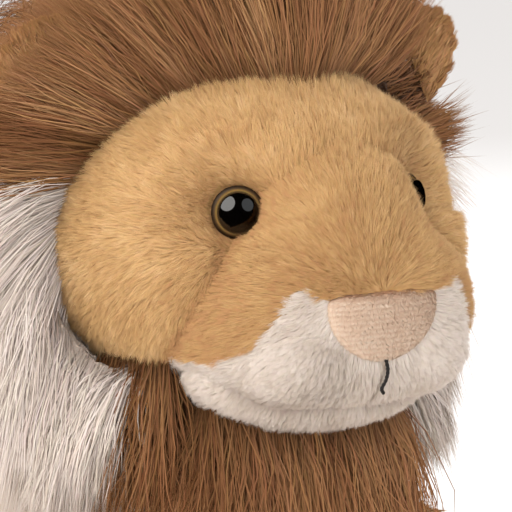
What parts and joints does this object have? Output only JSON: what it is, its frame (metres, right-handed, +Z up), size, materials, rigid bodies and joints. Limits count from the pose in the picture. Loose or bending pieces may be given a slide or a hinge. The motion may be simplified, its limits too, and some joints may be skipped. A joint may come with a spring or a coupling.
{
  "type": "plush lion",
  "caption": "Stuffed toy lion lying down with its head raised: golden short pile, long brown mane, white ruffs and muzzle, glossy eyes.",
  "frame": {"origin": "on the ground under the middle of the body, at the flat face it rests on", "axes": "+Z up, -Y the way the lion faces, +X its left side"},
  "size_m": [0.224, 0.4662, 0.2729],
  "materials": {
    "gold_pile": "short dense golden pile",
    "brown_pile": "long brown pile",
    "white_pile": "off-white pile",
    "nose_velour": "very short pinkish velour",
    "dark_thread": "sewing thread",
    "eye_plastic": "polished black dome with an amber rim",
    "washer_plastic": "moulded"
  },
  "bodies": {
    "torso": {"body": "gold_pile", "neck": "gold_pile", "haunch_left": "gold_pile", "haunch_right": "gold_pile", "hind_foot_left": "gold_pile", "hind_foot_right": "gold_pile"},
    "head_group": {"head": "gold_pile", "muzzle": "gold_pile", "muzzle_pad_left": "white_pile", "muzzle_pad_right": "white_pile", "chin": "white_pile", "nose": "nose_velour", "mouth_stitch": "dark_thread", "eye_left": "eye_plastic", "eye_right": "eye_plastic", "eye_washer_left": "washer_plastic", "eye_washer_right": "washer_plastic", "ear_left": "gold_pile", "ear_right": "gold_pile", "mane_crown": "brown_pile", "mane_left": "brown_pile", "mane_right": "brown_pile", "mane_nape": "brown_pile", "mane_chest": "brown_pile", "ruff_left": "white_pile", "ruff_right": "white_pile"},
    "foreleg_left_group": {"foreleg_left": "gold_pile"},
    "foreleg_right_group": {"foreleg_right": "gold_pile"},
    "tail_group": {"tail": "gold_pile", "tail_tuft": "brown_pile"}
  },
  "joints": [
    {"name": "head_turn", "type": "hinge", "parent": "torso", "child": "head_group", "pos_m": [0, -0.075, 0.141], "axis": [0, 0, 1], "range_deg": [-20, 20], "stiffness_Nm_per_rad": 0.12},
    {"name": "foreleg_left_swing", "type": "hinge", "parent": "torso", "child": "foreleg_left_group", "pos_m": [0.07, -0.033, 0.03], "axis": [0, 0, 1], "range_deg": [0, 18]},
    {"name": "foreleg_right_swing", "type": "hinge", "parent": "torso", "child": "foreleg_right_group", "pos_m": [-0.07, -0.033, 0.03], "axis": [0, 0, -1], "range_deg": [0, 18]},
    {"name": "tail_swing", "type": "hinge", "parent": "torso", "child": "tail_group", "pos_m": [0, 0.163, 0.032], "axis": [0, 0, 1], "range_deg": [-10, 40]}
  ]
}
